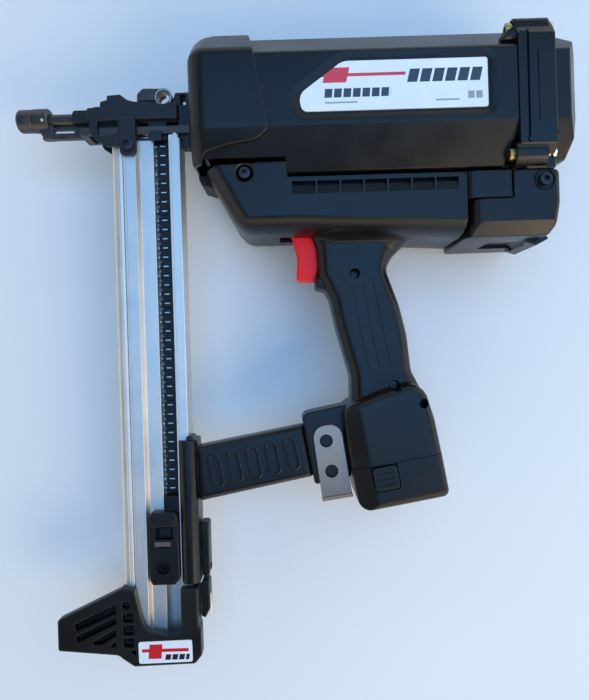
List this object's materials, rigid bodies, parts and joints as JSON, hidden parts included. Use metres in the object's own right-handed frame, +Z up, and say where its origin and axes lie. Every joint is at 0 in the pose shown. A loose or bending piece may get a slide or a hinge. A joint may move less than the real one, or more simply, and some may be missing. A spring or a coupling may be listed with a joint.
{
  "type": "gas-actuated nail gun",
  "caption": "Battery-ignited gas nail gun with an engine housing, pistol grip, nose with a sliding contact probe and a long collated-nail magazine, lying on its side.",
  "frame": {"origin": "centre of the footprint at the height of the surface the tool lies on", "axes": "+X from the muzzle back along the barrel, +Y from the magazine's foot to the top of the engine, +Z up from the surface, out of the tool's left side"},
  "size_m": [0.411, 0.4536, 0.107],
  "materials": {
    "black_plastic": "fine-textured matt black moulding",
    "cast_black": "black coated casting",
    "red_plastic": "glossy red",
    "aluminium": "satin anodised",
    "steel": "ground steel",
    "nickel": "bright nickel plate",
    "black_steel": "black oxide",
    "label": null,
    "rubber": "matt",
    "circuit": "board and cell wrap",
    "gas_can": "drawn can",
    "nail_steel": "bright nails in black plastic collation"
  },
  "bodies": {
    "frame": {"engine_cover": "black_plastic", "front_guard": "black_plastic", "rear_flange": "black_plastic", "rear_cap": "black_plastic", "housing_left": "black_plastic", "housing_right": "black_plastic", "bridge": "black_plastic", "foot": "black_plastic", "trigger_switch": "black_plastic", "hook_stud_1": "black_plastic", "hook_stud_2": "black_plastic", "nose_body": "cast_black", "magazine_channel": "aluminium", "magazine_front_rail": "aluminium", "cylinder_head": "aluminium", "guide_tube": "steel", "cylinder": "steel", "spark_plug": "steel", "fan_motor": "steel", "chamber_spring": "steel", "trigger_spring": "steel", "trigger_pin": "steel", "pusher_spring": "steel", "hook_plate": "nickel", "flange_screw_1": "black_steel", "flange_screw_2": "black_steel", "flange_screw_3": "black_steel", "flange_screw_4": "black_steel", "nose_screw": "black_steel", "door_screw_left": "black_steel", "door_screw_right": "black_steel", "front_screw": "black_steel", "grip_screw_top": "black_steel", "grip_screw_bottom": "black_steel", "side_label": "label", "front_bumper": "rubber", "bumper": "rubber", "ignition_module": "circuit", "gas_cell": "gas_can", "nail_strip_1": "nail_steel", "nail_strip_2": "nail_steel", "nail_strip_3": "nail_steel", "nail_strip_4": "nail_steel"},
    "contact": {"probe": "black_steel", "actuator": "steel", "chamber_sleeve": "aluminium"},
    "piston_unit": {"piston": "aluminium", "driver_blade": "steel"},
    "fan_rotor": {"fan": "steel"},
    "trigger_lever": {"trigger": "red_plastic"},
    "battery": {"battery_case": "black_plastic", "battery_lid": "black_plastic", "battery_cells": "circuit"},
    "button_left": {"battery_button_left": "black_plastic"},
    "button_right": {"battery_button_right": "black_plastic"},
    "follower": {"pusher": "black_plastic"},
    "latch_lever": {"magazine_latch": "black_plastic"},
    "latch_clip": {"latch_hook": "black_plastic"},
    "cell_door": {"gas_door": "black_plastic"},
    "nose_lever": {"release_lever": "black_steel"}
  },
  "joints": [
    {"name": "contact_slide", "type": "slide", "parent": "frame", "child": "contact", "axis": [1, 0, 0], "range_m": [0, 0.015], "stiffness_N_per_m": 800, "springref_m": -0.02, "deforming": ["chamber_spring"]},
    {"name": "piston_slide", "type": "slide", "parent": "frame", "child": "piston_unit", "axis": [-1, 0, 0], "range_m": [0, 0.104]},
    {"name": "fan_spin", "type": "hinge", "parent": "frame", "child": "fan_rotor", "pos_m": [0.1345, 0.1802, 0.0535], "axis": [1, 0, 0], "continuous": true},
    {"name": "trigger_pull", "type": "hinge", "parent": "frame", "child": "trigger_lever", "pos_m": [-0.0155, 0.0892, 0.0535], "axis": [0, 0, 1], "range_deg": [0, 7], "stiffness_Nm_per_rad": 0.8, "springref_deg": -20.05, "deforming": ["trigger_spring"]},
    {"name": "battery_slide", "type": "slide", "parent": "frame", "child": "battery", "axis": [0.165, -0.9863, 0], "range_m": [0, 0.06]},
    {"name": "battery_button_left", "type": "slide", "parent": "battery", "child": "button_left", "axis": [0, 0, -1], "range_m": [0, 0.002], "stiffness_N_per_m": 600, "springref_m": -0.002},
    {"name": "battery_button_right", "type": "slide", "parent": "battery", "child": "button_right", "axis": [0, 0, 1], "range_m": [0, 0.002], "stiffness_N_per_m": 600, "springref_m": -0.002},
    {"name": "follower_slide", "type": "slide", "parent": "frame", "child": "follower", "axis": [0, -1, 0], "range_m": [0, 0.03], "stiffness_N_per_m": 120, "springref_m": -0.05},
    {"name": "latch_lever_turn", "type": "hinge", "parent": "frame", "child": "latch_lever", "pos_m": [-0.0716, -0.1638, 0.0535], "axis": [0, 0, -1], "range_deg": [0, 40]},
    {"name": "latch_clip_turn", "type": "hinge", "parent": "frame", "child": "latch_clip", "pos_m": [-0.0716, -0.1638, 0.0535], "axis": [0, 0, 1], "range_deg": [0, 25]},
    {"name": "cell_door_turn", "type": "hinge", "parent": "frame", "child": "cell_door", "pos_m": [0.1757, 0.1135, 0.0535], "axis": [0, 0, 1], "range_deg": [0, 80]},
    {"name": "nose_lever_turn", "type": "hinge", "parent": "frame", "child": "nose_lever", "pos_m": [-0.0925, 0.1927, 0.0535], "axis": [0, 0, -1], "range_deg": [0, 35]}
  ]
}
